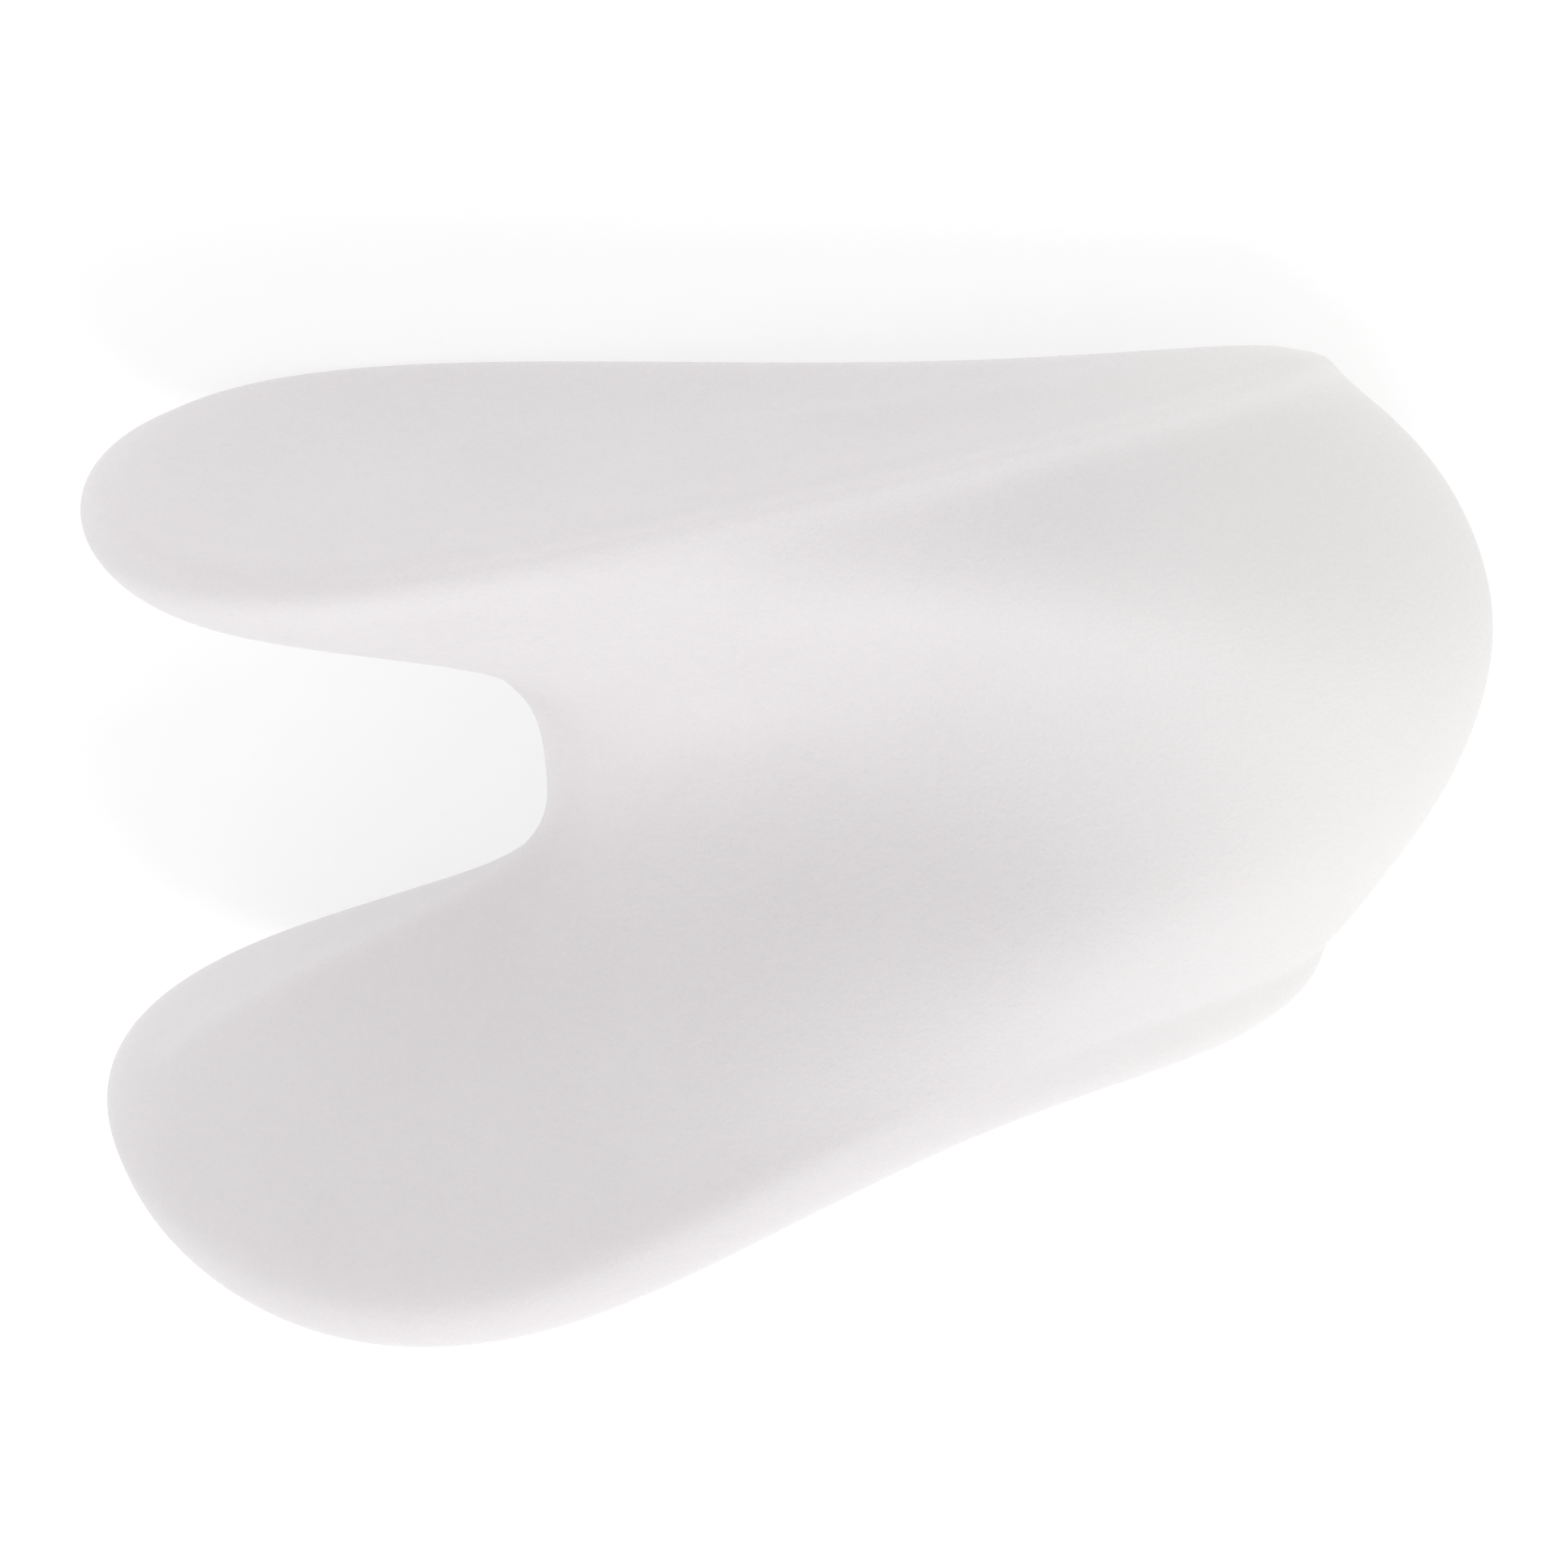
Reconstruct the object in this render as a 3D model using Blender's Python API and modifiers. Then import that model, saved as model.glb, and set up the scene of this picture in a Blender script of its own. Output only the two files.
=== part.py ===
"""A gel toe separator: one moulded cushion, lying on its side as it rests on a table.

X runs along the toes, from the two lobes at -X to the thick rounded end at +X.
Y runs from flange to flange, with the broad flange at -Y and the slim one at +Y.
Z is up, from one toe's side to the other's, and the two sides are alike.
"""

import math
from collections import namedtuple

import bmesh
import bpy
from mathutils import Vector
from mathutils.geometry import intersect_point_tri

MM = 0.001

# Driving dimensions
FLANGE_SPAN = 21.4 * MM  # over the middles of both flanges' outer faces
BROAD_WIDTH = 17.7 * MM  # across the broad flange
SLIM_WIDTH = 12.1 * MM  # across the slim flange
BROAD_WALL = 2.0 * MM  # thickness of the broad flange near its rim
SLIM_WALL = 1.5 * MM  # thickness of the slim flange near its rim
EDGE_ROUND = 0.55 * MM  # rounding between a flange's outer face and its rim
BROAD_LOBE_REACH = 18.6 * MM  # from the web's middle to the tip of the broad lobe
SLIM_LOBE_REACH = 17.1 * MM  # from the web's middle to the tip of the slim lobe
BROAD_END_REACH = 15.7 * MM  # from the web's middle to the broad flange's other end
SLIM_END_REACH = 16.9 * MM  # from the web's middle to the slim flange's other end
NOTCH_REACH = 5.4 * MM  # from the web's middle to the floor of the notch
END_REACH = 20.5 * MM  # from the web's middle to the thick rounded end
WEB_THICKNESS = 3.8 * MM  # across the web beside the notch
END_THICKNESS = 16.3 * MM  # across the thick end
WEB_OFFSET = 0.85 * MM  # how far the web's thinnest ring lies towards the slim flange
BROAD_FLARE = 0.25 * MM  # how far the broad flange stands out at its lobe
SLIM_FLARE = 1.3 * MM  # how far the slim flange stands out at its lobe
BROAD_CUP = 1.3 * MM  # how far the broad flange's rims turn outwards
SLIM_CUP = -0.35 * MM  # the slim flange's rims turn inwards a little
SLIM_LIFT = 1.15 * MM  # how far the slim flange's other end turns outwards
REST_LAND = 0.15 * MM  # how far the soft rims flatten where they rest

# Four half widths of a ring, from its nose at -X to its tail at +X, and the places where they hold
Widths = namedtuple("Widths", "nose front back tail")
STATIONS = Widths(nose=-1.0, front=-1 / 3, back=1 / 3, tail=1.0)

# The web's thinnest ring, in shares of WEB_THICKNESS at the nose and front and of END_THICKNESS behind
WEB = Widths(nose=0.62, front=0.36, back=0.285, tail=0.48)

# A flange's outline is in shares of its width. The powers say how fast each width grows from the web
# to the flange, and how fast the tail draws in. The floor of the notch stays straight up to the share
# floor_from of the way to the flange, and has run out into the lobe at the share floor_to.
Flange = namedtuple(
    "Flange",
    "side width wall lobe_reach end_reach flare cup lift edge outline powers tail_power floor_from floor_to",
)
BROAD = Flange(
    side=-1,
    width=BROAD_WIDTH,
    wall=BROAD_WALL,
    lobe_reach=BROAD_LOBE_REACH,
    end_reach=BROAD_END_REACH,
    flare=BROAD_FLARE,
    cup=BROAD_CUP,
    lift=0.0,
    edge=0.94,
    outline=Widths(nose=0.73, front=0.55, back=0.283, tail=0.39),
    powers=Widths(nose=1.5, front=2.05, back=2.25, tail=2.15),
    tail_power=1.6,
    floor_from=0.28,
    floor_to=0.92,
)
SLIM = Flange(
    side=1,
    width=SLIM_WIDTH,
    wall=SLIM_WALL,
    lobe_reach=SLIM_LOBE_REACH,
    end_reach=SLIM_END_REACH,
    flare=SLIM_FLARE,
    cup=SLIM_CUP,
    lift=SLIM_LIFT,
    edge=0.94,
    outline=Widths(nose=0.82, front=0.42, back=0.222, tail=0.146),
    powers=Widths(nose=1.25, front=1.8, back=2.65, tail=2.05),
    tail_power=1.85,
    floor_from=0.27,
    floor_to=0.97,
)

SEAT_SHARES = (0.22, 0.44, 0.64, 0.82, 1.0)  # a flange's seat rings, on the way from the web to it
CAP_SHARE = 0.55  # the ring in a flange's outer face, as a share of its rim
EDGE_START = 0.15  # where the rounded edge starts, as a share of EDGE_ROUND
EDGE_INSET = 0.035  # how much smaller the ring there is, as a share of the rim
RIM_SWELL = 0.012  # how far the middle of the rim stands out, as a share of the rim
LIFT_START = 0.25  # where the lift starts, as a share of a flange's end reach

COLUMNS = 16  # points round a ring
SMOOTHING = 2  # levels of subdivision
GEL = (0.86, 0.85, 0.85, 1.0)


def half_width(widths, station):
    """The smooth curve through the four half widths, read at a station from -1 to 1."""
    total = 0.0
    for here, width in zip(STATIONS, widths):
        weight = 1.0
        for other in STATIONS:
            if other != here:
                weight *= (station - other) / (here - other)
        total += width * weight
    return total


def mixed(start, end, share):
    return start + (end - start) * share


def ease(share):
    """0 to 1 with a level start and a level end."""
    share = min(max(share, 0.0), 1.0)
    return share * share * (3 - 2 * share)


def ring(y, nose, tail, widths, flange, bend_share, scale=1.0):
    """An egg-shaped ring at height y, from -nose to +tail, bent outwards as its flange is."""
    middle = (tail - nose) / 2
    half = (tail + nose) / 2 * scale
    points = []
    for column in range(COLUMNS):
        angle = 2 * math.pi * column / COLUMNS
        station = math.cos(angle)
        x = middle + half * station
        z = math.sin(angle) * half_width(widths, station) * scale
        bend = flange.flare * -x / flange.lobe_reach
        bend += flange.cup * (z / (BROAD_WIDTH / 2)) ** 2
        bend += flange.lift * max(0.0, x / flange.end_reach - LIFT_START) ** 2 / (1 - LIFT_START) ** 2
        points.append((x, y + flange.side * bend_share * bend, z))
    return points


def web_widths():
    """The half widths of the web's thinnest ring."""
    return Widths(
        nose=WEB.nose * WEB_THICKNESS,
        front=WEB.front * WEB_THICKNESS,
        back=WEB.back * END_THICKNESS,
        tail=WEB.tail * END_THICKNESS,
    )


def web_ring():
    return ring(WEB_OFFSET, NOTCH_REACH, END_REACH, web_widths(), SLIM, 0.0)


def seat_rings(flange):
    """The rings of a flange's toe seats, from beside the web to the flange's inner edge."""
    inner = FLANGE_SPAN / 2 - flange.wall
    rings = []
    for share in SEAT_SHARES:
        run_out = ease((share - flange.floor_from) / (flange.floor_to - flange.floor_from))
        nose = mixed(NOTCH_REACH, flange.lobe_reach, run_out)
        tail = mixed(END_REACH, flange.end_reach, share**flange.tail_power)
        widths = Widths(
            *(
                mixed(start, end * flange.width, share**power)
                for start, end, power in zip(web_widths(), flange.outline, flange.powers)
            )
        )
        height = mixed(WEB_OFFSET, flange.side * inner, share)
        rings.append(ring(height, nose, tail, widths, flange, share))
    return rings


def rim_rings(flange):
    """The rings of a flange's rim and outer face, from the middle of the rim outwards."""
    face = FLANGE_SPAN / 2
    outline = Widths(*(share * flange.width for share in flange.outline))
    levels = (
        (face - flange.wall / 2, (1 + flange.edge) / 2 + RIM_SWELL),
        (face - EDGE_ROUND, flange.edge),
        (face - EDGE_ROUND * EDGE_START, flange.edge - EDGE_INSET),
        (face, CAP_SHARE),
    )
    reach = (flange.lobe_reach, flange.end_reach)
    return [ring(flange.side * level, *reach, outline, flange, 1.0, scale) for level, scale in levels]


def cage_of_rings(name, rings):
    """A closed cage: each ring joined to the next by quads, and the two end rings capped."""
    points = [point for one in rings for point in one]
    faces = []
    for row in range(len(rings) - 1):
        for column in range(COLUMNS):
            here = row * COLUMNS + column
            beside = row * COLUMNS + (column + 1) % COLUMNS
            faces.append((here, here + COLUMNS, beside + COLUMNS, beside))
    last = (len(rings) - 1) * COLUMNS
    faces.append(tuple(range(COLUMNS)))
    faces.append(tuple(reversed(range(last, last + COLUMNS))))
    mesh = bpy.data.meshes.new(name)
    mesh.from_pydata(points, [], faces)
    mesh.shade_smooth()
    return mesh


def add_collection(name):
    collection = bpy.data.collections.new(name)
    bpy.context.scene.collection.children.link(collection)
    return collection


def gel_material():
    material = bpy.data.materials.new("white_gel")
    material.use_nodes = True
    shader = material.node_tree.nodes["Principled BSDF"]
    shader.inputs["Base Color"].default_value = GEL
    shader.inputs["Roughness"].default_value = 0.5
    shader.inputs["Metallic"].default_value = 0.0
    return material


def finished_shape(obj):
    """The object's shape with its modifiers, as a new bmesh in world space."""
    bpy.context.view_layer.update()
    evaluated = obj.evaluated_get(bpy.context.evaluated_depsgraph_get())
    shape = bmesh.new()
    shape.from_mesh(evaluated.to_mesh())
    shape.transform(evaluated.matrix_world)
    evaluated.to_mesh_clear()
    return shape


def centre_of_mass(shape):
    """The middle of a closed shape's volume, summed over tetrahedra from the origin."""
    bmesh.ops.triangulate(shape, faces=shape.faces)
    total = 0.0
    moment = Vector()
    for face in shape.faces:
        a, b, c = (vertex.co for vertex in face.verts)
        volume = a.dot(b.cross(c)) / 6
        total += volume
        moment += volume * (a + b + c) / 4
    return moment / total


def resting_turn(obj):
    """The turn that lays the object on the three points that carry it on its -Z side."""
    shape = finished_shape(obj)
    centre = centre_of_mass(shape)
    hull = bmesh.ops.convex_hull(shape, input=shape.verts)
    down = Vector((0, 0, -1))
    normals = []
    for face in (item for item in hull["geom"] if isinstance(item, bmesh.types.BMFace)):
        corners = [vertex.co for vertex in face.verts]
        across = (corners[1] - corners[0]).cross(corners[2] - corners[0])
        if across.length and intersect_point_tri(centre, *corners):
            across *= math.copysign(1, across.dot(corners[0] - centre))
            normals.append(across.normalized())
    shape.free()
    return max(normals, key=down.dot).rotation_difference(down)


def main():
    for obj in list(bpy.data.objects):
        bpy.data.objects.remove(obj)
    parts = add_collection("toe_separator")
    cutters = add_collection("cutters")

    rings = list(reversed(seat_rings(BROAD) + rim_rings(BROAD)))
    rings.append(web_ring())
    rings += seat_rings(SLIM) + rim_rings(SLIM)
    body = bpy.data.objects.new("separator_body", cage_of_rings("separator_body", rings))
    body.data.materials.append(gel_material())
    parts.objects.link(body)
    smooth = body.modifiers.new("soft form", "SUBSURF")
    smooth.levels = SMOOTHING
    smooth.render_levels = SMOOTHING

    # The separator is turned until it rests, and set over the origin
    body.rotation_mode = "QUATERNION"
    body.rotation_quaternion = resting_turn(body)
    shape = finished_shape(body)
    places = [vertex.co for vertex in shape.verts]
    low = Vector(min(place[axis] for place in places) for axis in range(3))
    high = Vector(max(place[axis] for place in places) for axis in range(3))
    shape.free()
    middle = (low + high) / 2
    body.location = (-middle.x, -middle.y, -low.z - REST_LAND)

    # What would reach below the table is flattened
    block = 2 * (high.x - low.x)
    bpy.ops.mesh.primitive_cube_add(size=block, location=(0, 0, -block / 2))
    table = bpy.context.object
    table.name = "table_top"
    table.hide_render = True
    table.display_type = "WIRE"
    bpy.context.collection.objects.unlink(table)
    cutters.objects.link(table)
    land = body.modifiers.new("rest land", "BOOLEAN")
    land.operation = "DIFFERENCE"
    land.object = table


main()
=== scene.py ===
# %% [markdown]
# # A gel toe separator
# The real thing is one soft casting of white silicone gel, worn between two toes. We model it in
# Blender as one piece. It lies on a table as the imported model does, and the camera looks down on it as
# the photograph does.
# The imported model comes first, because it is the frame that everything is placed in.

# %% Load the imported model
import math

import bmesh
import bpy
from mathutils import Matrix, Vector


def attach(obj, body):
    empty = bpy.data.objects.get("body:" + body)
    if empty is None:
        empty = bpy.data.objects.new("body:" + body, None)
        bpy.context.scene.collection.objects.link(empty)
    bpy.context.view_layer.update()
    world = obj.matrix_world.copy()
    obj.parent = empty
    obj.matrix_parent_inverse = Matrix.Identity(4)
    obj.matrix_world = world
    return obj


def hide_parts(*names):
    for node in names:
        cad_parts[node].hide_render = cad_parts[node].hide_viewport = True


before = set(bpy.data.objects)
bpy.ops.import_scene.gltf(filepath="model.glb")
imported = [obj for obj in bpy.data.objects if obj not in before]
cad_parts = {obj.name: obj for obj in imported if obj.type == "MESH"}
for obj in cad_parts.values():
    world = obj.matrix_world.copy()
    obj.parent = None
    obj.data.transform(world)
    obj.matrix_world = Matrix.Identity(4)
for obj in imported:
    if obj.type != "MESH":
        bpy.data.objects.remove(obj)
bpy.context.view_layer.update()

# %% [markdown]
# ## Sizes
# The casting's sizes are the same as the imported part's. The web is the thin wall between the toes.
# On either side of it a flange spreads out, a broad one and a slim one. Both run on past the web as
# lobes, with a notch between them, and at the other end the web swells into a thick rounded end.
# A form without one straight line is easiest to keep in hand when each size has a name, and what
# follows a size is a share of it.

# %% Sizes of the casting
MM = 0.001
FLANGE_SPAN = 21.4 * MM  # over the middles of both flanges' outer faces
BROAD_WIDTH = 17.7 * MM
SLIM_WIDTH = 12.1 * MM
EDGE_ROUND = 0.55 * MM  # rounding between a flange's outer face and its rim
NOTCH_REACH = 5.4 * MM  # from the web's middle to the floor of the notch
END_REACH = 20.5 * MM  # from the web's middle to the thick rounded end
WEB_THICKNESS = 3.8 * MM
END_THICKNESS = 16.3 * MM
WEB_OFFSET = 0.85 * MM  # how far the web's thinnest ring lies towards the slim flange
REST_LAND = 0.15 * MM  # how far the soft gel flattens where it rests

# A flange's outline is in shares of its width, and the powers say how fast each width grows from the web.
# It flares at the lobe, its tail lifts, and its rims cup outwards, or inwards where the cup is below 0.
# The seat shares are the places of its slices, from the web at 0 to the flange at 1. The broad flange
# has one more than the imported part, at 0.93, and the lip round its toe seat rises from there.
# The notch's floor is straight up to the share floor_from of the way to the flange, and has run out into
# the lobe at floor_to.
BROAD = {
    "side": -1,
    "width": BROAD_WIDTH,
    "wall": 2.0 * MM,
    "lobe_reach": 18.6 * MM,
    "end_reach": 15.7 * MM,
    "flare": 0.25 * MM,
    "cup": 1.3 * MM,
    "lift": 0.0,
    "lip": 0.35 * MM,
    "seat_shares": (0.22, 0.44, 0.64, 0.82, 0.93, 1.0),
    "outline": (0.73, 0.55, 0.283, 0.39),
    "powers": (1.5, 2.05, 2.25, 2.15),
    "tail_power": 1.6,
    "floor_from": 0.28,
    "floor_to": 0.92,
}
SLIM = {
    "side": 1,
    "width": SLIM_WIDTH,
    "wall": 1.5 * MM,
    "lobe_reach": 17.1 * MM,
    "end_reach": 16.9 * MM,
    "flare": 1.3 * MM,
    "cup": -0.35 * MM,
    "lift": 1.15 * MM,
    "lip": 0.0,
    "seat_shares": (0.22, 0.44, 0.64, 0.82, 1.0),
    "outline": (0.82, 0.42, 0.222, 0.146),
    "powers": (1.25, 1.8, 2.65, 2.05),
    "tail_power": 1.85,
    "floor_from": 0.27,
    "floor_to": 0.97,
}
print("flanges in mm:", round(BROAD_WIDTH / MM, 1), "and", round(SLIM_WIDTH / MM, 1), "wide")

# %% [markdown]
# ## The slices
# A soft form like this could be sculpted from a ball, but then no size could be stated. We cut it into
# slices instead, as a loaf is cut, from the broad flange to the slim one. Each slice is an egg shape
# with four half widths: at its nose, two on the way, and at its tail. From the web to a flange each
# width grows by a power of the way, which makes the fillet between them, and the floor of the notch
# runs out into the lobe along an S-curve. The formulas are short, so a size can be changed later and
# the whole casting follows.

# %% The widths of one slice
STATIONS = (-1.0, -1 / 3, 1 / 3, 1.0)  # where the four half widths hold, from nose to tail
WEB_SHARES = (0.62, 0.36, 0.285, 0.48)  # of the web's thickness twice, then of the thick end's
WEB_SIZES = (WEB_THICKNESS, WEB_THICKNESS, END_THICKNESS, END_THICKNESS)
WEB_WIDTHS = [share * size for share, size in zip(WEB_SHARES, WEB_SIZES)]
LIFT_START = 0.25  # where a flange's tail starts to turn outwards, as a share of its reach


def half_width(widths, station):
    """The smooth curve through the four half widths, read at a station from -1 to 1."""
    total = 0.0
    for here, width in zip(STATIONS, widths):
        weight = 1.0
        for other in STATIONS:
            if other != here:
                weight *= (station - other) / (here - other)
        total += width * weight
    return total


def mixed(start, end, share):
    return start + (end - start) * share


def ease(share):
    """0 to 1 with a level start and a level end."""
    share = min(max(share, 0.0), 1.0)
    return share * share * (3 - 2 * share)


near_notch = 2 * half_width(WEB_WIDTHS, -2 / 3) / MM
print("width of the web's slice near the notch:", round(near_notch, 1), "mm")

# %% [markdown]
# ## The points of a slice
# Sixteen points round each slice are enough, because the surface will be smoothed later. More would only
# make it lumpy. The +Z side is worked out, and the other side is its mirror image.


# %% Where the points of one slice lie
COLUMNS = 16  # points round a slice


def slice_points(y, nose, tail, widths, flange, bend_share, scale=1.0):
    """The points of one slice on its +Z side, from its tail to its nose."""
    middle = (tail - nose) / 2
    half = (tail + nose) / 2 * scale
    points = []
    for column in range(COLUMNS // 2 + 1):
        angle = 2 * math.pi * column / COLUMNS
        station = math.cos(angle)
        x = middle + half * station
        z = math.sin(angle) * half_width(widths, station) * scale
        bend = flange["flare"] * -x / flange["lobe_reach"]
        bend += flange["cup"] * (z / (BROAD_WIDTH / 2)) ** 2
        turned = max(0.0, x / flange["end_reach"] - LIFT_START) / (1 - LIFT_START)
        bend += flange["lift"] * turned**2
        points.append(Vector((x, y + flange["side"] * bend_share * bend, z)))
    return points


print("points round a slice:", COLUMNS)

# %% [markdown]
# ## The slices of a flange
# Some slices make the toe seat, from the web up to the flange. The rest make the rim and the rounded
# edge, and stand close together there, because that is where the form turns quickly.

# %% The slices of a flange
EDGE_SHARE = 0.94  # the outer face, as a share of the flange's outline
EDGE_INSET = 0.035  # how much smaller it is where the rounding ends
EDGE_START = 0.15  # where the rounding ends, as a share of EDGE_ROUND
RIM_SWELL = 0.012  # how far the middle of the rim stands out
CAP_SHARE = 0.55  # the last slice, inside the outer face


def flange_slices(flange):
    outline = [share * flange["width"] for share in flange["outline"]]
    inner = FLANGE_SPAN / 2 - flange["wall"]
    slices = []
    for share in flange["seat_shares"]:
        run_out = ease((share - flange["floor_from"]) / (flange["floor_to"] - flange["floor_from"]))
        nose = mixed(NOTCH_REACH, flange["lobe_reach"], run_out)
        tail = mixed(END_REACH, flange["end_reach"], share ** flange["tail_power"])
        widths = [
            mixed(start, end, share**power)
            for start, end, power in zip(WEB_WIDTHS, outline, flange["powers"])
        ]
        height = mixed(WEB_OFFSET, flange["side"] * inner, share)
        if share == 1.0:
            height -= flange["side"] * flange["lip"]
        slices.append(slice_points(height, nose, tail, widths, flange, share))
    face = FLANGE_SPAN / 2
    levels = (
        (face - flange["wall"] / 2, (1 + EDGE_SHARE) / 2 + RIM_SWELL),
        (face - EDGE_ROUND, EDGE_SHARE),
        (face - EDGE_ROUND * EDGE_START, EDGE_SHARE - EDGE_INSET),
        (face, CAP_SHARE),
    )
    reach = (flange["lobe_reach"], flange["end_reach"])
    for level, scale in levels:
        slices.append(slice_points(flange["side"] * level, *reach, outline, flange, 1.0, scale))
    return slices


web_slice = slice_points(WEB_OFFSET, NOTCH_REACH, END_REACH, WEB_WIDTHS, SLIM, 0.0)
slices = list(reversed(flange_slices(BROAD))) + [web_slice] + flange_slices(SLIM)
print("slices:", len(slices))

# %% [markdown]
# ## A tube with a ring for each slice
# The cage starts as a flat circle that stands upright at the broad flange. It is extruded once for
# each slice, so it becomes a plain tube with both ends closed. A tube is easy to select in, because
# each ring has its own place along Y and each point its own angle.

# %% Extrude the tube
START_RADIUS = 6 * MM
PITCH = 1.2 * MM


def only(obj):
    """Makes obj the one selected and active object."""
    bpy.ops.object.select_all(action="DESELECT")
    obj.select_set(True)
    bpy.context.view_layer.objects.active = obj


bpy.ops.object.select_all(action="DESELECT")
bpy.ops.mesh.primitive_circle_add(
    vertices=COLUMNS, radius=START_RADIUS, fill_type="NGON", rotation=(math.pi / 2, 0, 0)
)
gel = bpy.context.object
gel.name = gel.data.name = "gel_separator"
bpy.ops.object.transform_apply(location=True, rotation=True, scale=True)
bpy.ops.object.mode_set(mode="EDIT")
bpy.ops.mesh.select_all(action="SELECT")
for _ in slices[1:]:
    bpy.ops.mesh.extrude_region_move(TRANSFORM_OT_translate={"value": (0, PITCH, 0)})
print("points in the tube:", len(bmesh.from_edit_mesh(gel.data).verts))

# %% [markdown]
# ## From the tube to the casting
# Now each ring takes its slice's shape. The two toe sides are alike, so the points go in pairs, one on
# each side. A pair is moved along and across to its place, and then drawn apart or together to the
# slice's width there.

# %% Shape every ring, pair by pair
numbers = {}  # the number of the point in each row and column, found by its place in the tube
for point in bmesh.from_edit_mesh(gel.data).verts:
    row = round(point.co.y / PITCH)
    column = round(math.atan2(point.co.z, point.co.x) / (2 * math.pi) * COLUMNS) % COLUMNS
    numbers[row, column] = point.index


def pick(wanted):
    """Selects the points with these numbers and nothing else."""
    shape = bmesh.from_edit_mesh(gel.data)
    shape.verts.ensure_lookup_table()
    for items in (shape.verts, shape.edges, shape.faces):
        for item in items:
            item.select = False
    for number in wanted:
        shape.verts[number].select = True
    shape.select_flush_mode()
    return shape.verts[wanted[0]].co.copy()


bpy.context.tool_settings.mesh_select_mode = (True, False, False)
for row, points in enumerate(slices):
    for column, target in enumerate(points):
        pair = {numbers[row, column], numbers[row, -column % COLUMNS]}
        here = pick([numbers[row, column], *pair])
        bpy.ops.transform.translate(value=(target.x - here.x, target.y - here.y, 0))
        if len(pair) > 1:
            bpy.ops.transform.resize(
                value=(1, 1, target.z / here.z), center_override=(target.x, target.y, 0)
            )
bpy.ops.mesh.select_all(action="SELECT")
bpy.ops.mesh.normals_make_consistent(inside=False)
print("slices shaped:", len(slices))

# %% [markdown]
# ## The parting ridge
# The mould opens between the two toe sides, so the casting has a ridge where its halves meet. It is the
# notch's edge, and it runs on over the inner face of the broad lobe. A crease on these edges keeps the
# smoothing from rounding it away, and the points on the lobe are lifted a little.

# %% Lift and crease the ridge
RIDGE_RISE = 0.55 * MM
RIDGE_CREASE = 0.75
NOSE = COLUMNS // 2
web_row = len(flange_slices(BROAD))
lip_row = web_row - len(BROAD["seat_shares"])
LIFTED_ROWS = range(lip_row + 3, web_row - 1)  # on the lobe, clear of its tip and of the notch
CREASED_ROWS = range(lip_row + 2, web_row + 3)
for row in LIFTED_ROWS:
    pick([numbers[row, NOSE]])
    bpy.ops.transform.translate(value=(0, RIDGE_RISE, 0))
bpy.context.tool_settings.mesh_select_mode = (False, True, False)
shape = bmesh.from_edit_mesh(gel.data)
shape.verts.ensure_lookup_table()
line = {numbers[row, NOSE] for row in CREASED_ROWS}
for edge in shape.edges:
    edge.select = {point.index for point in edge.verts} <= line
bmesh.update_edit_mesh(gel.data)
bpy.ops.transform.edge_crease(value=RIDGE_CREASE)
bpy.ops.object.mode_set(mode="OBJECT")
print("cage in mm:", [round(side / MM, 1) for side in gel.dimensions])

# %% [markdown]
# ## Smoothing
# Gel takes the smooth form of its mould, so the cage gets a Subdivision Surface, which is applied.
# A corner of the cage is never touched by the surface: it only pulls the surface towards it.

# %% Smooth the cage
FINE = 4
only(gel)
smooth = gel.modifiers.new("soft form", "SUBSURF")
smooth.levels = FINE
smooth.render_levels = FINE
bpy.ops.object.modifier_apply(modifier=smooth.name)
bpy.ops.object.shade_smooth()
print("faces:", len(gel.data.polygons))

# %% [markdown]
# ## Lay it down
# The casting rests on its side, on the rims of its two lobes and on the thick end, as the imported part
# does: turned a little about a level axis, with its box over the origin. Where it rests, the soft gel
# is flat, so the mesh is bisected at the table, and the cut is filled. The turn and the place are
# applied, so that the object itself sits at the origin and the pattern of its skin stays put.

# %% Turn, place and flatten
CLOSE = 1e-7  # points nearer than this to the table, in metres, count as on it
REST_TURN = math.radians(11.41)
REST_AXIS = math.radians(156.86)  # how far the level axis points round from +X
gel.rotation_mode = "AXIS_ANGLE"
gel.rotation_axis_angle = (REST_TURN, math.cos(REST_AXIS), math.sin(REST_AXIS), 0)
bpy.ops.object.transform_apply(location=True, rotation=True, scale=True)
places = [point.co for point in gel.data.vertices]
low = Vector([min(place[axis] for place in places) for axis in range(3)])
high = Vector([max(place[axis] for place in places) for axis in range(3)])
gel.location = (-(low.x + high.x) / 2, -(low.y + high.y) / 2, -low.z - REST_LAND)
laid_at = gel.location.copy()
bpy.ops.object.transform_apply(location=True, rotation=True, scale=True)
bpy.ops.object.mode_set(mode="EDIT")
bpy.ops.mesh.select_all(action="SELECT")
bpy.ops.mesh.bisect(
    plane_co=(0, 0, 0), plane_no=(0, 0, 1), use_fill=True, clear_inner=True, threshold=CLOSE
)
bpy.ops.object.mode_set(mode="OBJECT")
print("laid at mm:", [round(value / MM, 2) for value in laid_at])

# %% [markdown]
# ## Shader maths
# A material is a sum of masks and noises. Written as node links it is hard to read, so one small class
# wraps a socket and lets Python's operators add the Math nodes. Every other node comes from one method,
# which takes the node's type, its settings and what goes into its sockets.


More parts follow.
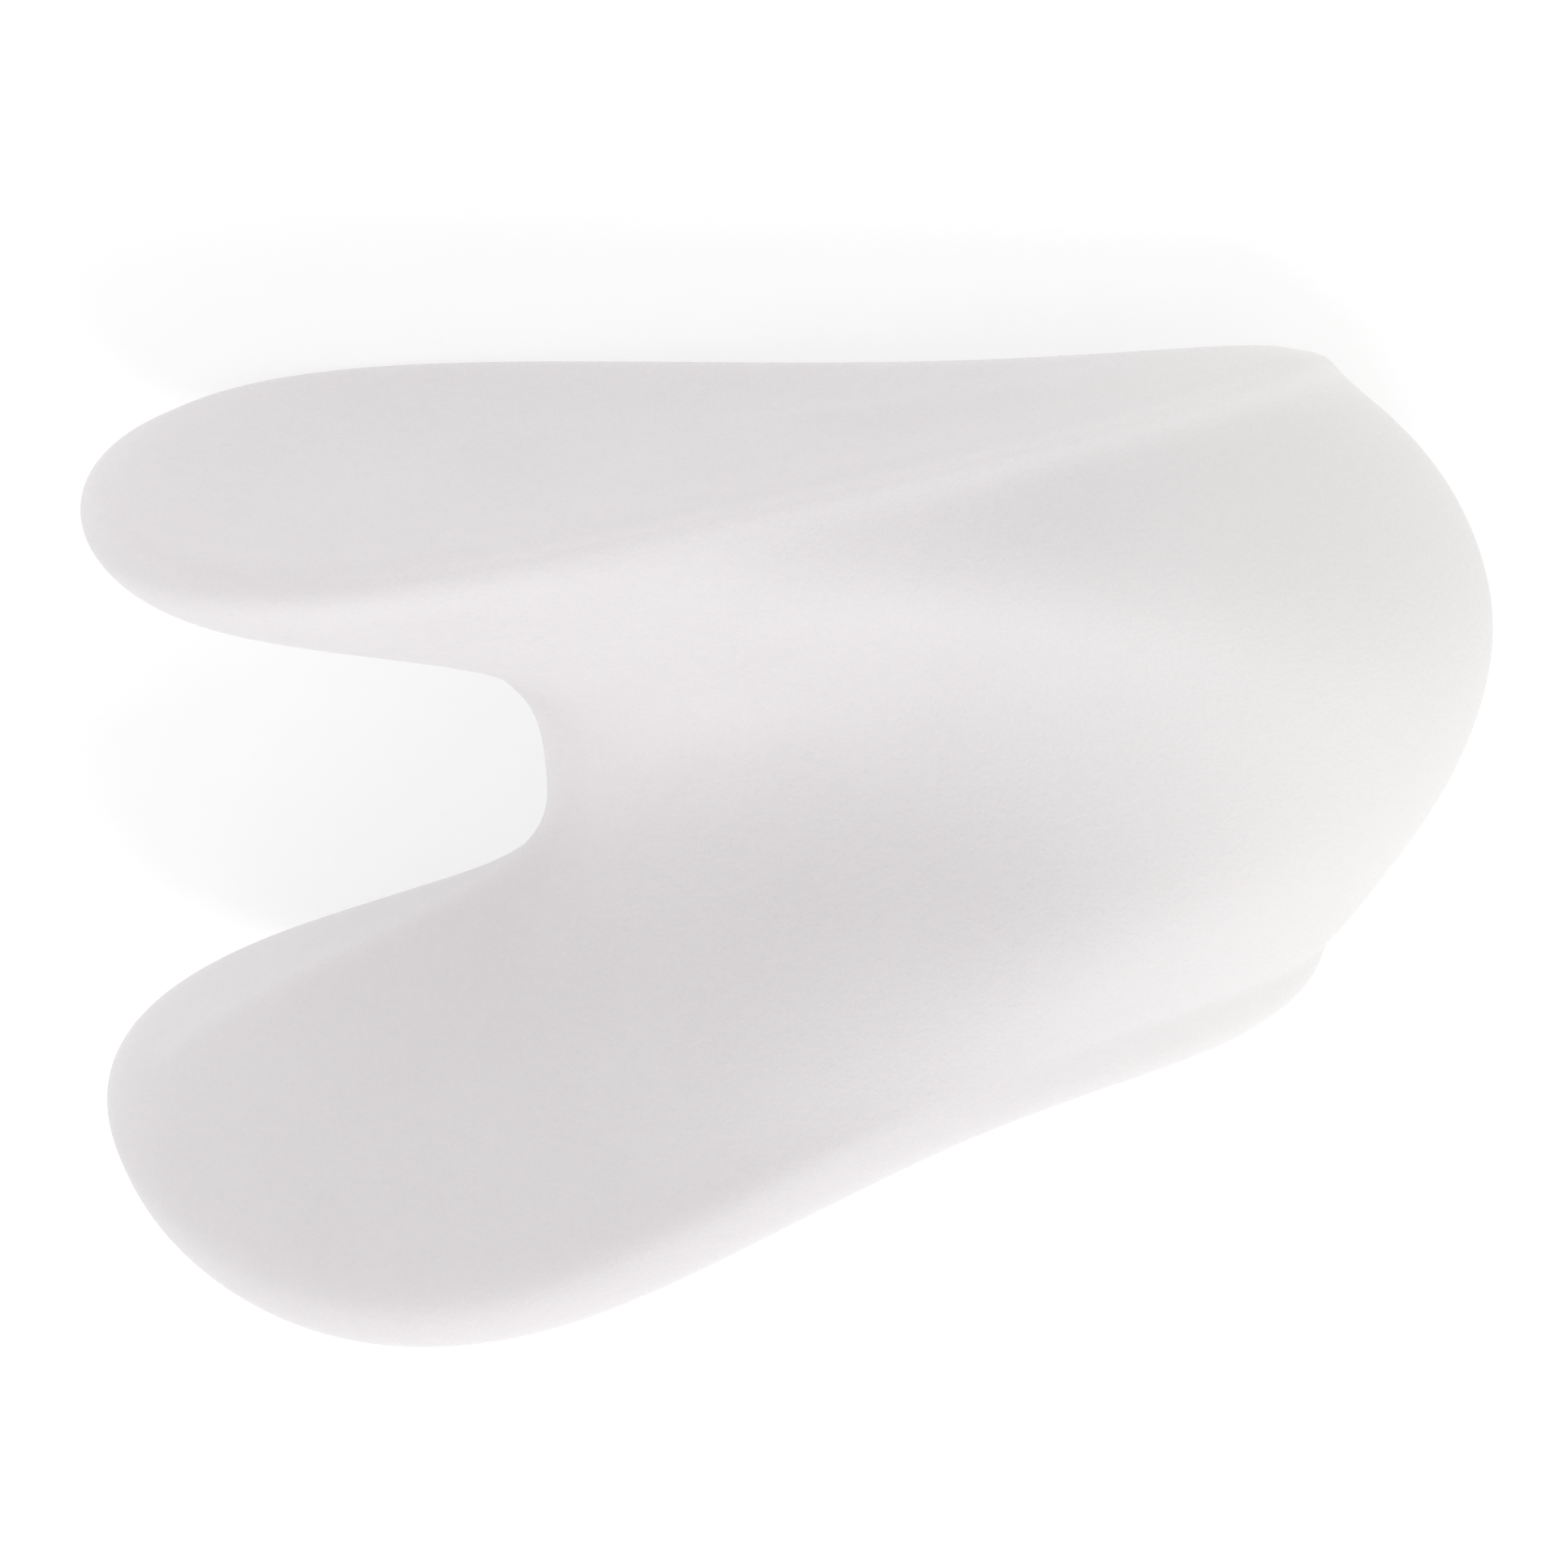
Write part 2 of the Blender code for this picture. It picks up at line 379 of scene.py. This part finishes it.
# %% A socket that can be reckoned with
class Reading:
    """One number of a material, from a node's output."""

    def __init__(self, finish, socket):
        self.finish = finish
        self.socket = socket

    def math(self, operation, first, second, clamp=False):
        settings = {"operation": operation, "use_clamp": clamp}
        node = self.finish.node("ShaderNodeMath", settings, {0: first, 1: second})
        return Reading(self.finish, node.outputs[0])

    def __add__(self, other):
        return self.math("ADD", self, other)

    __radd__ = __add__

    def __sub__(self, other):
        return self.math("SUBTRACT", self, other)

    def __rsub__(self, other):
        return self.math("SUBTRACT", other, self)

    def __mul__(self, other):
        return self.math("MULTIPLY", self, other)

    __rmul__ = __mul__

    def clamped(self):
        return self.math("ADD", self, 0.0, clamp=True)

    def smoothed(self, start, end):
        """0 below start, 1 above end, and an S-curve between them."""
        settings = {"interpolation_type": "SMOOTHSTEP"}
        sockets = {"Value": self, "From Min": start, "From Max": end}
        node = self.finish.node("ShaderNodeMapRange", settings, sockets)
        return Reading(self.finish, node.outputs["Result"])


print("a Reading can be added, subtracted and multiplied")


# %% A material and its nodes
class Finish:
    """A new material on Object coordinates, with one method that adds any node."""

    def __init__(self, name):
        self.material = bpy.data.materials.new(name)
        self.material.use_nodes = True
        self.nodes = self.material.node_tree.nodes
        self.shader = self.nodes["Principled BSDF"]
        self.place = self.node("ShaderNodeTexCoord", {}, {}).outputs["Object"]

    def node(self, kind, settings, sockets):
        """Adds a node. Its settings are set first, then its sockets get their values or links."""
        made = self.nodes.new(kind)
        for key, value in settings.items():
            setattr(made, key, value)
        for key, value in sockets.items():
            self.feed(made.inputs[key], value)
        return made

    def feed(self, socket, value):
        if isinstance(value, Reading):
            value = value.socket
        if isinstance(value, bpy.types.NodeSocket):
            self.material.node_tree.links.new(value, socket)
        else:
            socket.default_value = value

    def put(self, **values):
        """Feeds the shader's sockets, named with _ for a space."""
        for key, value in values.items():
            self.feed(self.shader.inputs[key.replace("_", " ")], value)

    def noise(self, size, detail):
        """A noise from about 0 to 1, with lumps of this size in metres."""
        sockets = {"Vector": self.place, "Scale": 1 / size, "Detail": detail}
        return Reading(self, self.node("ShaderNodeTexNoise", {}, sockets).outputs["Fac"])

    def along(self, axis):
        parts = self.node("ShaderNodeSeparateXYZ", {}, {"Vector": self.place})
        return Reading(self, parts.outputs[axis])

    def blend(self, share, first, second):
        """A colour between two, by a share from 0 to 1.

        The Mix node's colours go into its sockets 6 and 7 and come out of its output 2.
        """
        sockets = {"Factor": share, 6: first, 7: second}
        return self.node("ShaderNodeMix", {"data_type": "RGBA"}, sockets).outputs[2]

    def bump(self, height, distance, strength):
        sockets = {"Height": height, "Distance": distance, "Strength": strength}
        self.put(Normal=self.node("ShaderNodeBump", {}, sockets).outputs["Normal"])


print("a Finish makes noises, blends and bumps")

# %% [markdown]
# ## The gel
# Silicone gel is cloudy white. Light goes a millimetre or two into it and comes out again, which lifts
# the shadows and makes thin rims glow, so the shader gets subsurface scattering. A plain white would look
# like plaster. The skin is matte, as if lightly powdered, so three noises of different sizes mottle its
# colour and give it a fine grain. The thick end is a shade warmer, so the colour changes along X.

# %% The gel's colours
GEL_COOL = (0.71, 0.686, 0.696, 1.0)
GEL_PALE = (0.765, 0.743, 0.751, 1.0)
GEL_WARM = (0.785, 0.777, 0.766, 1.0)
CLOUD_SIZE = 3.2 * MM
POWDER_SIZE = 0.13 * MM
SPECK_SIZE = 0.42 * MM
SOFT_DETAIL = 2.0
CRISP_DETAIL = 3.0
CLOUD_TONE = 0.55  # how much each noise adds to the pale share
POWDER_TONE = 0.35
SPECK_TONE = 0.35
TONE_SHIFT = 0.15
WARM_FROM = 4 * MM  # where the warm tone starts, along X
WARM_TO = 17 * MM
WARM_MOST = 0.85
white_gel = Finish("white_gel_skin")
cloud = white_gel.noise(CLOUD_SIZE, SOFT_DETAIL)
powder = white_gel.noise(POWDER_SIZE, CRISP_DETAIL)
speck = white_gel.noise(SPECK_SIZE, SOFT_DETAIL)
mottling = cloud * CLOUD_TONE + powder * POWDER_TONE + speck * SPECK_TONE
pale_share = (mottling - TONE_SHIFT).clamped()
skin = white_gel.blend(pale_share, GEL_COOL, GEL_PALE)
warm_share = white_gel.along("X").smoothed(WARM_FROM, WARM_TO) * WARM_MOST
skin = white_gel.blend(warm_share, skin, GEL_WARM)
white_gel.put(Base_Color=skin)
print("gel colours:", GEL_COOL[:3], GEL_PALE[:3], GEL_WARM[:3])

# %% The gel's gloss, grain and depth
GEL_ROUGHNESS = 0.46  # where both noises are at 0
POWDER_ROUGHNESS = 0.1
CLOUD_ROUGHNESS = 0.06
POWDER_RELIEF = 0.6
SPECK_RELIEF = 0.4
GRAIN_HEIGHT = 0.06 * MM
GRAIN_STRENGTH = 0.8
LIGHT_INSIDE = 0.45  # the share of the light that goes in and comes out again
LIGHT_REACH = (1.0, 0.95, 0.92)  # red light goes a little further than blue
DEPTH_OF_LIGHT = 1.6 * MM
GEL_IOR = 1.41
GEL_SPECULAR = 0.35
white_gel.put(Roughness=GEL_ROUGHNESS + powder * POWDER_ROUGHNESS + cloud * CLOUD_ROUGHNESS)
grain = powder * POWDER_RELIEF + speck * SPECK_RELIEF
white_gel.bump(grain, GRAIN_HEIGHT, GRAIN_STRENGTH)
white_gel.put(Subsurface_Weight=LIGHT_INSIDE, Subsurface_Radius=LIGHT_REACH)
white_gel.put(Subsurface_Scale=DEPTH_OF_LIGHT, IOR=GEL_IOR, Specular_IOR_Level=GEL_SPECULAR)
gel.data.materials.clear()
gel.data.materials.append(white_gel.material)
print("gel material nodes:", len(white_gel.nodes))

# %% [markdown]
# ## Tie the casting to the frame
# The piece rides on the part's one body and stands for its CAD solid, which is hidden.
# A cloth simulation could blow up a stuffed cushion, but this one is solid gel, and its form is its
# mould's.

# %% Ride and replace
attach(gel, "root")
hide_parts("separator_body")
print("rides on root")

# %% [markdown]
# ## Floor and light
# The photograph shows the casting alone on white. A plain floor would show its shadow, so this one is
# pale and glows a little, as a light table does. A white surrounding gives most of the light, so hollows
# darken only a little and rims stay bright, and one wide lamp adds the photograph's soft direction.

# %% The floor
FLOOR_SIDE = 3.0
FLOOR_DARK = (0.42, 0.42, 0.42, 1)
FLOOR_LIGHT = (0.44, 0.44, 0.44, 1)
FLOOR_GLOW = 0.6
FLOOR_ROUGHNESS = 0.8
FIBRE_ROUGHNESS = 0.1
FIBRE_SIZE = 1.5 * MM
WHITE = (1, 1, 1, 1)
bpy.ops.object.select_all(action="DESELECT")
bpy.ops.mesh.primitive_plane_add(size=FLOOR_SIDE, location=(0, 0, 0))
floor = bpy.context.object
floor.name = "floor"
paper = Finish("pale_floor")
fibre = paper.noise(FIBRE_SIZE, CRISP_DETAIL)
paper.put(Base_Color=paper.blend(fibre, FLOOR_DARK, FLOOR_LIGHT))
paper.put(Roughness=FLOOR_ROUGHNESS + fibre * FIBRE_ROUGHNESS)
paper.put(Emission_Color=WHITE, Emission_Strength=FLOOR_GLOW)
floor.data.materials.append(paper.material)
print("floor side:", FLOOR_SIDE, "m")

# %% The surrounding and the lamp
SKY_STRENGTH = 0.92
LAMP_WATTS = 0.8
LAMP_SIDE = 0.4
LAMP_PLACE = (0.1, -0.3, 0.42)
LAMP_AIM = (0, 0, 0.006)
world = bpy.data.worlds.new("white_surrounding")
bpy.context.scene.world = world
world.use_nodes = True
sky = world.node_tree.nodes["Background"]
sky.inputs["Color"].default_value = WHITE
sky.inputs["Strength"].default_value = SKY_STRENGTH
lamp_data = bpy.data.lights.new("wide_lamp", "AREA")
lamp_data.shape = "DISK"
lamp_data.size = LAMP_SIDE
lamp_data.energy = LAMP_WATTS
lamp = bpy.data.objects.new("wide_lamp", lamp_data)
bpy.context.scene.collection.objects.link(lamp)
lamp.location = LAMP_PLACE
lamp.rotation_euler = (Vector(LAMP_PLACE) - Vector(LAMP_AIM)).to_track_quat("Z", "Y").to_euler()
bpy.context.scene.view_settings.view_transform = "Standard"
print("lamp distance in m:", round(lamp.location.length, 2))

# %% [markdown]
# ## The camera
# The photograph looks down on the casting with the broad flange at its lower edge, and it is turned
# nearly upside down against the table. A long lens from about a quarter of a metre keeps the small
# thing from looking near. The camera looks at a point in the casting's middle, so it needs no shift.

# %% Place the camera
CAMERA_AZIMUTH = math.radians(181.6)
CAMERA_ELEVATION = math.radians(43.15)
CAMERA_ROLL = math.radians(172.7)
CAMERA_DISTANCE = 269.8 * MM
CAMERA_AIM = Vector((-0.12, -0.19, 6.58)) * MM
CAMERA_LENS = 234.2  # millimetres
SENSOR_WIDTH = 36  # millimetres
back = Vector(
    (
        math.sin(CAMERA_AZIMUTH) * math.cos(CAMERA_ELEVATION),
        -math.cos(CAMERA_AZIMUTH) * math.cos(CAMERA_ELEVATION),
        math.sin(CAMERA_ELEVATION),
    )
)
level_right = Vector((math.cos(CAMERA_AZIMUTH), math.sin(CAMERA_AZIMUTH), 0))
level_up = back.cross(level_right)
right = math.cos(CAMERA_ROLL) * level_right + math.sin(CAMERA_ROLL) * level_up
up = back.cross(right)
camera_data = bpy.data.cameras.new("camera")
camera = bpy.data.objects.new("camera", camera_data)
bpy.context.scene.collection.objects.link(camera)
camera_data.lens = CAMERA_LENS
camera_data.sensor_width = SENSOR_WIDTH
camera_data.clip_start = 10 * MM
turn = Matrix((right, up, back)).transposed().to_4x4()
camera.matrix_world = Matrix.Translation(CAMERA_AIM + back * CAMERA_DISTANCE) @ turn
bpy.context.scene.camera = camera
print("camera at mm:", [round(value / MM, 1) for value in camera.location])

# %% Update the scene
bpy.context.view_layer.update()
